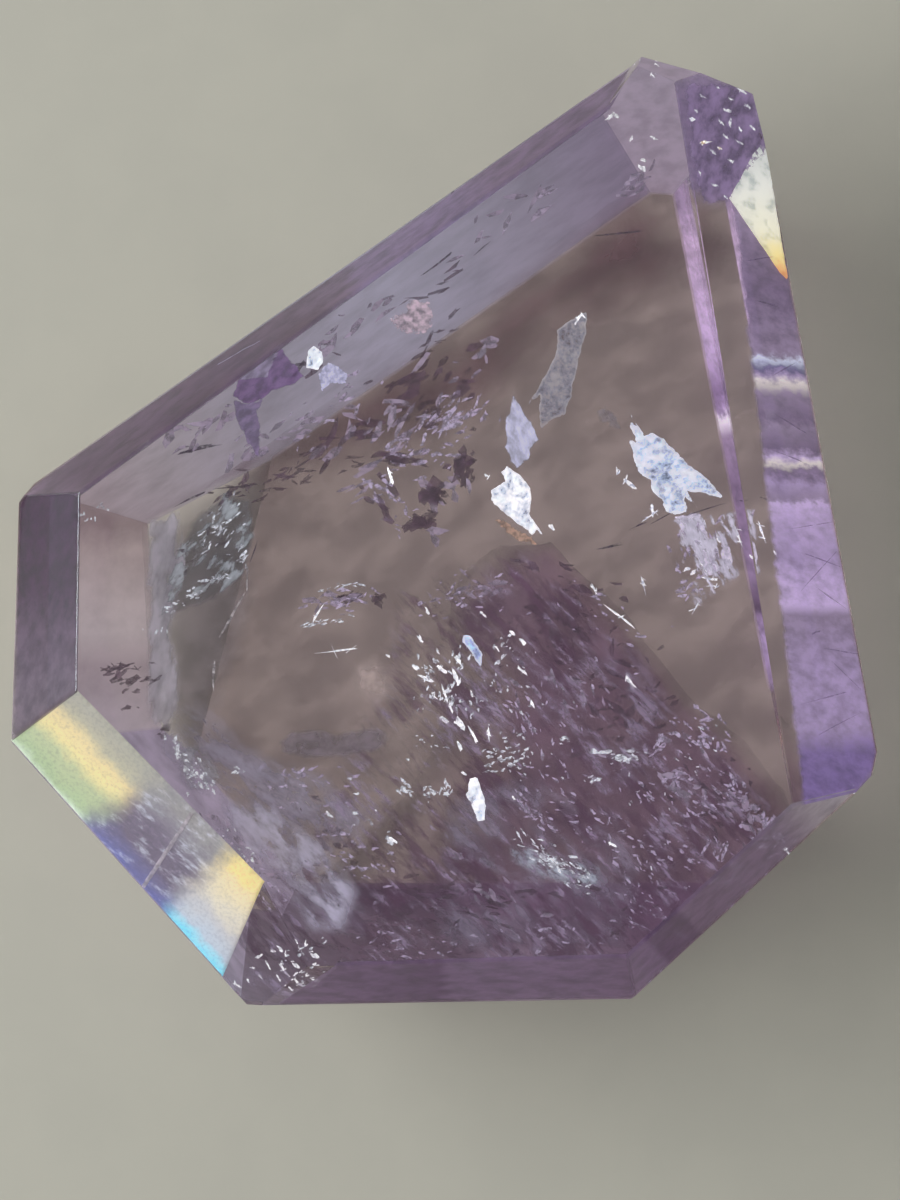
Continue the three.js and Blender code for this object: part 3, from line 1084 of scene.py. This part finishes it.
rags("plum_plates", [
    (462, 462, 14, 12, 60, 6, 22, 14), (430, 495, 16, 12, 20, 6, 20, 14), (420, 522, 20, 8, 10, 6, 20, 8),
    (391, 457, 20, 6, -12, 5, 22, 7), (340, 440, 40, 20, 30, 8, 26, 8), (420, 380, 40, 16, 35, 8, 26, 8),
    (560, 640, 40, 40, -50, 12, 22, 7), (620, 690, 50, 40, -50, 14, 24, 8),
    (300, 370, 60, 12, 33, 8, 24, 5), (430, 290, 60, 10, 33, 8, 24, 4), (700, 790, 40, 30, -45, 12, 18, 7),
    (450, 900, 60, 26, 0, 14, 22, 7), (380, 500, 20, 20, -45, 8, 20, 8), (300, 465, 50, 8, 33, 10, 26, 4),
    (470, 380, 24, 16, 40, 6, 18, 8), (120, 670, 24, 10, 5, 8, 16, 4), (560, 575, 40, 14, -20, 10, 18, 6),
    (730, 130, 20, 30, 60, 12, 14, 7), (240, 495, 20, 14, 35, 8, 16, 6),
], shard("plum_plate", (92, 66, 84), 0.42, 0.25, size=0.8, clear_from=0.0), (6.5, 12.0), 25, sides=6)

# %% White, lilac and dark rags
rags("white_rags", [
    (225, 512, 22, 12, 35, 22, 9, 2.2), (212, 536, 26, 16, 40, 34, 9, 2.0),
    (240, 558, 12, 9, 60, 12, 7, 2.5), (215, 578, 18, 5, 10, 16, 7, 2.5), (188, 597, 16, 7, 15, 18, 6, 2.5),
    (168, 608, 9, 7, 0, 10, 5, 2.5), (152, 632, 3, 12, 90, 8, 6, 2), (180, 752, 14, 9, -50, 18, 7, 3.5),
    (198, 775, 20, 12, -45, 30, 6, 3.5), (239, 770, 5, 6, 0, 6, 5, 3.5), (506, 757, 24, 18, 20, 44, 7, 2.8),
    (447, 790, 6, 14, -70, 12, 8, 3.5), (405, 790, 10, 6, -45, 14, 7, 3), (426, 793, 6, 8, 0, 10, 5, 3),
    (392, 840, 6, 6, 0, 8, 6, 3.5), (618, 756, 24, 9, -10, 28, 9, 4), (590, 780, 9, 5, 0, 8, 7, 3),
    (565, 740, 6, 5, 0, 6, 6, 3.5), (558, 864, 44, 13, -30, 60, 10, 2.2),
    (552, 859, 14, 7, -20, 16, 9, 3.5), (589, 878, 5, 4, -40, 6, 7, 4), (342, 586, 16, 5, 10, 12, 9, 2),
    (325, 620, 26, 4, 8, 14, 10, 2), (300, 952, 8, 8, 40, 8, 6, 3), (450, 700, 14, 40, 80, 40, 6, 3),
    (480, 690, 30, 60, -60, 26, 4, 2), (520, 760, 40, 30, -40, 20, 4, 2),
    (640, 830, 60, 60, -45, 12, 4, 1.8), (700, 745, 30, 30, -45, 10, 5, 2),
    (540, 690, 40, 40, -50, 14, 4, 2), (430, 740, 20, 20, 0, 12, 4, 2), (425, 670, 16, 14, -40, 16, 6, 3),
    (462, 655, 14, 20, 60, 14, 6, 3), (502, 650, 20, 16, 40, 12, 6, 3), (82, 515, 6, 10, 60, 8, 5, 3),
    (105, 508, 8, 4, 0, 5, 5, 3), (360, 800, 40, 30, -20, 14, 5, 2.5), (230, 860, 30, 20, -45, 16, 5, 2.5),
], shard("white_shard", (206, 209, 218), 0.9, 0.35), (8.0, 12.5), 21)
rags("lilac_rags", [
    (640, 890, 50, 30, -45, 30, 9, 2.5), (660, 820, 60, 40, -45, 30, 8, 2.5),
    (560, 720, 40, 50, -55, 26, 8, 2.5), (700, 735, 34, 22, -40, 40, 11, 4),
    (732, 788, 14, 9, -60, 14, 10, 3.5), (656, 746, 14, 9, 30, 16, 9, 4), (676, 776, 18, 6, 10, 14, 9, 4),
    (523, 718, 20, 5, -58, 14, 12, 3), (525, 808, 20, 8, -40, 16, 12, 3), (735, 872, 10, 9, 70, 12, 9, 3),
    (700, 800, 60, 40, -40, 60, 8, 3), (640, 850, 60, 50, -30, 50, 7, 3), (560, 800, 60, 40, -40, 40, 9, 3),
    (470, 590, 50, 30, 20, 34, 8, 3), (340, 600, 36, 12, 8, 22, 11, 3), (440, 410, 40, 12, 38, 18, 18, 4),
    (456, 415, 22, 8, 38, 12, 22, 5), (430, 450, 60, 30, 30, 44, 12, 4), (385, 500, 30, 16, -45, 24, 12, 4),
    (300, 800, 60, 40, 0, 30, 7, 3), (360, 860, 60, 40, -20, 40, 8, 3), (250, 870, 40, 24, -50, 34, 8, 3),
    (300, 770, 30, 8, 5, 10, 10, 3), (560, 940, 60, 20, 0, 30, 8, 3), (410, 940, 70, 20, 0, 26, 8, 3),
    (700, 545, 24, 30, -70, 34, 10, 4), (692, 585, 20, 10, 40, 22, 9, 3), (770, 830, 12, 18, 40, 24, 8, 4),
    (600, 620, 60, 30, -35, 26, 8, 3), (330, 410, 60, 20, 35, 20, 14, 4),
], shard("lilac_shard", (182, 170, 191), 0.72, 0.25), (6.0, 12.0), 22)
rags("dark_rags", [
    (462, 462, 12, 9, 60, 7, 18, 12), (466, 478, 8, 8, 60, 6, 14, 10), (436, 492, 10, 9, 0, 9, 15, 10),
    (424, 520, 15, 8, 10, 9, 16, 8), (391, 457, 20, 6, -12, 8, 20, 6), (347, 596, 16, 7, 10, 12, 12, 4),
    (381, 599, 8, 7, 0, 8, 10, 7), (120, 668, 24, 4, 5, 12, 14, 3), (130, 682, 14, 11, 5, 12, 15, 7),
    (153, 678, 10, 3, 8, 6, 13, 3), (131, 708, 7, 3, 0, 4, 9, 4), (163, 731, 12, 5, 12, 8, 12, 6),
    (222, 505, 30, 14, 35, 8, 14, 4), (205, 545, 30, 22, 35, 12, 14, 4), (560, 620, 80, 40, 20, 30, 10, 5),
    (620, 700, 60, 50, 30, 30, 12, 5), (480, 900, 90, 30, 0, 36, 14, 4), (650, 900, 50, 30, 30, 8, 12, 6),
    (260, 480, 60, 14, 12, 14, 16, 4), (330, 850, 60, 40, -30, 24, 9, 5), (330, 470, 60, 14, 12, 16, 18, 5),
    (420, 350, 60, 16, 35, 14, 16, 4), (430, 400, 50, 30, 30, 24, 16, 7),
    (730, 800, 40, 30, -40, 24, 10, 6),
], shard("dark_shard", (80, 58, 70), 0.5, 0.25), (5.0, 12.0), 23)

# %% [markdown]
# ## Milky veils
#
# A crack that healed while the crystal grew keeps thousands of tiny bubbles.
# From a step away they read as milk: wisps that run along the old crack.

# %% Veils
flaw("milk_left", [
    (150, 700), (205, 690), (250, 740), (330, 770), (375, 810), (370, 980), (240, 980), (264, 884),
    (195, 812), (150, 762),
], 8.5, (0.25, 0.2),
     veil("milk", (172, 165, 184), 0.75, low=0.32, high=0.70, size=1.4, stretch=2.4, turn=-42, patch=7.0,
          glow=0.12), cell=1.0, crumple=0.4, gap=0.25, reach=2.0)
flaw("milk_low", [
    (215, 790), (270, 800), (330, 840), (365, 890), (350, 940), (290, 945), (262, 890), (225, 840),
], 11.5, (0.2, 0.2),
     veil("low_milk", (188, 182, 200), 0.78, low=0.26, high=0.62, size=1.0, stretch=2.4, turn=-45, patch=3.0,
          glow=0.26), cell=0.8, crumple=0.2, gap=0.25, reach=1.4)
flaw("milk_middle", [
    (440, 800), (520, 770), (610, 800), (650, 860), (650, 980), (430, 980),
], 8.5, (-0.2, 0.15),
     veil("milk_streaks", (172, 162, 180), 0.68, low=0.36, high=0.70, size=1.2, stretch=3.2, turn=-42,
          patch=6.0, glow=0.12), cell=1.0, crumple=0.4, gap=0.25, reach=1.6)
flaw("blue_streak", [
    (505, 842), (560, 845), (600, 865), (612, 885), (590, 892), (540, 880), (505, 860),
], 9.5, (0.3, -0.2),
     veil("blue_white_streaks", (212, 223, 241), 0.80, low=0.42, high=0.66, stretch=3.0, turn=-35, patch=2.5,
          glow=0.15), cell=0.5, crumple=0.15, gap=0.25, reach=0.8)
flaw("left_cloud", [(170, 745), (205, 742), (225, 775), (215, 800), (185, 790)], 9.5, (0.3, 0.2),
     veil("cloud_milk", (205, 205, 214), 0.8, low=0.40, high=0.66, size=0.9, stretch=2.0, turn=-45,
          patch=2.0), cell=0.5, crumple=0.15, gap=0.25, reach=0.7)
flaw("lens", [
    (277, 742), (290, 730), (318, 727), (335, 732), (360, 727), (385, 728), (393, 738), (380, 752),
    (345, 758), (305, 760), (282, 754),
], 9.0, (0.1, 0.2), film("lens_film", (150, 138, 148), 0.55, ragged=0.5, edge=0.8, size=1.0),
     cell=0.5, crumple=0.05, ragged=0.05, gap=0.25, reach=0.6)
flaw("grey_strip", [
    (146, 518), (180, 510), (186, 560), (176, 640), (184, 700), (172, 738), (146, 720),
], 9.0, (0.1, 0.0),
     film("strip_film", (160, 154, 162), 0.85, ragged=1.2, edge=0.8, size=1.2, glow=0.35, stretch=2.5,
          turn=80), cell=0.5, reach=0.9)
flaw("beige_glow", [(345, 660), (375, 650), (400, 665), (400, 700), (375, 712), (345, 695)], 9.0, (0.0, 0.0),
     film("beige_film", (186, 168, 160), 0.6, ragged=0.3, edge=1.0, size=1.5, glow=0.35),
     cell=0.5, ragged=0.0, reach=1.8)
FEATHERS = [
    (172, 560), (190, 520), (225, 490), (252, 500), (256, 540), (245, 575), (215, 600), (175, 615),
    (155, 620),
]
flaw("feathers", FEATHERS, 10.5, (0.2, 0.2),
     veil("feather_white", (214, 220, 222), 0.85, high=0.64, stretch=4.0, turn=50, patch=1.6),
     cell=0.4, reach=0.4)
flaw("feather_shade", FEATHERS, 8.5, (0.2, 0.2),
     film("feather_dark", (116, 114, 116), 0.50, ragged=0.6, edge=0.8, size=0.9, stretch=3.0, turn=50,
          contrast=0.5), cell=0.4, reach=0.6)

# %% [markdown]
# ## The dividing crack
#
# One long crack crosses the stone from side to side. It starts at the lower end
# of the folded flake, runs right as a thin line, and falls away below it. The
# other hairlines at the slanted side are made in the same way.

# %% Dividing crack and hairlines
splinters("crack_lines", [
    (592, 553, 626, 541, 4), (628, 531, 651, 519, 2), (651, 518, 676, 516, 1.6), (676, 516, 741, 501, 1.6),
    (741, 501, 768, 500, 1.4), (175, 456, 222, 440, 5), (170, 503, 212, 494, 4), (212, 494, 252, 481, 3),
    (470, 252, 500, 240, 2), (414, 272, 458, 258, 3), (590, 240, 640, 228, 3), (255, 534, 254, 566, 2),
], shard("crack_shadow", (85, 69, 85), 0.75, 0.1), (8.0, 9.5), 31, pieces=1)
splinters("slant_light_line", [(254, 566, 240, 592, 3), (240, 592, 222, 645, 4), (222, 645, 206, 692, 5)],
          shard("pale_line", (188, 182, 181), 0.8, 0.2), (9.0, 9.4), 32, pieces=1)

# %% [markdown]
# ## Patches at the slanted side
#
# Small flats of broken crystal beside the long slanted side mirror the colour
# zones, and their films paint that reflection, with a glow of painted light. Three
# are purple or lilac, one is pink, and two are small pale chips.

# %% Purple and pink patches
PATCHES = (
    ("purple_patch", (112, 84, 128), [
        (262, 346), (276, 340), (304, 376), (292, 386), (272, 392), (262, 400), (246, 404), (232, 396),
        (238, 380), (256, 368),
    ]),
    ("patch_tail", (116, 98, 132), [
        (232, 398), (250, 404), (266, 396), (258, 412), (262, 430), (258, 460), (248, 444), (236, 422),
    ]),
    ("lilac_patch", (152, 142, 166), [
        (208, 376), (226, 352), (258, 340), (272, 344), (256, 362), (236, 380), (216, 394),
    ]),
)
for name, colour, outline in PATCHES:
    flaw(name, outline, 12.5, (0.1, 0.3),
         film(name + "_film", colour, 0.85, ragged=0.7, edge=0.5, size=0.5, stretch=2.0, turn=40, glow=0.45,
              contrast=0.4), cell=0.3, ragged=0.12, reach=0.3)
flaw("pink_patch", [
    (408, 298), (430, 302), (434, 320), (428, 334), (402, 334), (388, 320), (404, 310),
], 12.5, (0.1, 0.3),
     film("rose_film", (182, 160, 170), 0.75, ragged=1.6, size=0.5, glow=0.5, contrast=0.6),
     cell=0.35, reach=0.4)
flaw("white_chip", [(308, 350), (314, 346), (322, 352), (324, 362), (318, 370), (306, 368)], 12.8, (0.1, 0.2),
     white_silver, cell=0.15, crumple=0.06, ragged=0.04, reach=0.25)
flaw("lilac_chip", [
    (318, 374), (328, 362), (340, 366), (348, 376), (346, 384), (330, 384), (322, 392),
], 12.6, (0.1, 0.2),
     film("chip_film", (203, 200, 237), 0.95, edge=0.3, size=0.3, glow=0.3),
     cell=0.15, crumple=0.06, reach=0.25)

# %% [markdown]
# ## The silvery cluster at the right
#
# Where the dividing crack meets the right side it breaks up into small silvery
# scales: two mottled films, feathery wisps over them, and glints, which are painted highlights.

# %% Right cluster
for name, outline in (
    ("cluster_a", [
        (675, 517), (700, 511), (706, 528), (710, 540), (716, 560), (722, 572), (708, 577), (698, 560),
        (690, 545), (682, 535),
    ]),
    ("cluster_b", [(722, 541), (730, 545), (733, 560), (730, 571), (722, 566), (719, 552)]),
):
    flaw(name, outline, 8.5, (0.2, 0.2),
         film(name + "_film", (212, 206, 226), 0.92, ragged=0.9, edge=0.4, size=0.45, glow=0.40,
              contrast=0.4), cell=0.25, ragged=0.08, reach=0.3)
flaw("cluster_feathers", [
    (670, 518), (738, 510), (742, 575), (722, 592), (694, 610), (684, 572),
], 9.5, (0.1, 0.2),
     veil("cluster_white", (216, 212, 226), 0.9, high=0.62, size=0.6, stretch=3.0, turn=-65, patch=1.8,
          glow=0.4), cell=0.4, reach=0.4)
splinters("right_glints", [
    (683, 572, 689, 567, 5), (690, 575, 697, 570, 5), (702, 520, 706, 524, 4), (736, 523, 738, 545, 3),
    (703, 578, 718, 579, 3), (706, 585, 720, 587, 3), (703, 600, 690, 612, 3), (643, 574, 644, 594, 3),
    (716, 536, 722, 542, 4), (700, 560, 708, 573, 5), (750, 554, 753, 560, 3), (640, 520, 660, 512, 2),
    (614, 466, 620, 474, 5), (624, 478, 636, 490, 4), (650, 506, 655, 517, 4),
], spark("right_spark", (0.80, 0.84, 1.0), 0.55), (7.5, 9.0), 12)

# %% [markdown]
# ## Sparkles at the corners
#
# At the corners of the stone many small breaks lie close together. Those at the
# top right lie just under the right crown facet, beside the bright triangle, and
# so do the fine crack lines further down. Their sparkles are painted highlights, as the glints are.

# %% Corner sparkles
glint_plane = under(triangle_facet, 0.12)
splinters("corner_sparks", [
    (256, 960, 262, 954, 5), (277, 946, 284, 953, 5), (280, 963, 284, 970, 4), (292, 960, 299, 970, 5),
    (258, 973, 262, 979, 3), (276, 976, 281, 981, 3), (234, 981, 239, 988, 4), (284, 950, 287, 957, 3),
    (298, 972, 294, 976, 3), (250, 966, 256, 970, 3), (266, 962, 270, 968, 4), (270, 950, 275, 952, 3),
    (290, 978, 296, 981, 3), (246, 978, 250, 982, 3),
], spark("corner_spark", (0.95, 0.95, 1.0), 0.6), (9.0, 10.5), 13)
sheet("top_mottle", [
    (684, 84), (735, 78), (766, 98), (770, 150), (745, 175), (728, 204), (700, 206), (690, 150),
], under(triangle_facet, 0.2),
      film("mottle_film", (130, 110, 144), 0.80, ragged=1.4, edge=0.8, size=0.9, stretch=1.6, turn=50,
           glow=0.50, contrast=0.5), cell=0.4, crumple=0.02, gap=0.05)
splinters("top_sparks", [
    (738, 90, 748, 90, 4), (716, 87, 720, 88, 3), (724, 109, 731, 112, 5), (732, 120, 728, 126, 4),
    (722, 134, 728, 138, 3), (728, 160, 734, 162, 3), (724, 195, 728, 199, 4), (718, 120, 724, 124, 4),
    (700, 95, 706, 98, 3), (744, 104, 750, 108, 4), (710, 150, 716, 154, 3), (736, 140, 742, 144, 3),
    (750, 124, 754, 130, 3), (698, 170, 702, 176, 3), (712, 184, 718, 186, 3), (694, 110, 698, 112, 3),
    (728, 98, 734, 100, 3),
], spark("top_spark", (0.78, 0.72, 0.90), 0.45), (11.0, 12.5), 14, plane=glint_plane)
splinters("pale_sparks", [
    (614, 113, 617, 117, 4), (632, 136, 630, 142, 4), (652, 136, 656, 140, 4), (640, 165, 644, 172, 6),
    (640, 158, 646, 162, 4), (606, 120, 616, 112, 4), (650, 74, 655, 77, 2),
], spark("pale_spark", (0.85, 0.84, 0.88), 0.5), (11.0, 12.5), 15)
splinters("gold_glint", [(699, 143, 712, 141, 4), (716, 146, 722, 150, 3)],
          spark("gold_spark", (0.95, 0.72, 0.45), 0.7), (11.5, 12.0), 16, plane=glint_plane)
splinters("blue_glint", [(690, 121, 696, 117, 4), (738, 128, 742, 131, 3)],
          spark("blue_spark", (0.55, 0.62, 1.0), 0.6), (11.5, 12.0), 17, pieces=2, plane=glint_plane)
splinters("crown_cracks", [
    (792, 552, 850, 566, 1.6), (800, 575, 846, 560, 1.4), (806, 590, 850, 600, 1.4),
    (812, 634, 820, 630, 4), (820, 645, 866, 658, 1.6), (824, 668, 862, 676, 1.4),
    (806, 700, 850, 694, 1.2), (812, 730, 858, 722, 1.4), (790, 520, 836, 530, 1.4),
    (768, 372, 800, 366, 1.6), (772, 425, 806, 420, 1.6), (776, 455, 812, 462, 1.6),
    (752, 300, 780, 306, 1.8), (742, 262, 772, 256, 2),
], shard("plum_crack", (104, 80, 120), 0.40, 0.35), (11.0, 11.5), 18, pieces=1, plane=glint_plane)
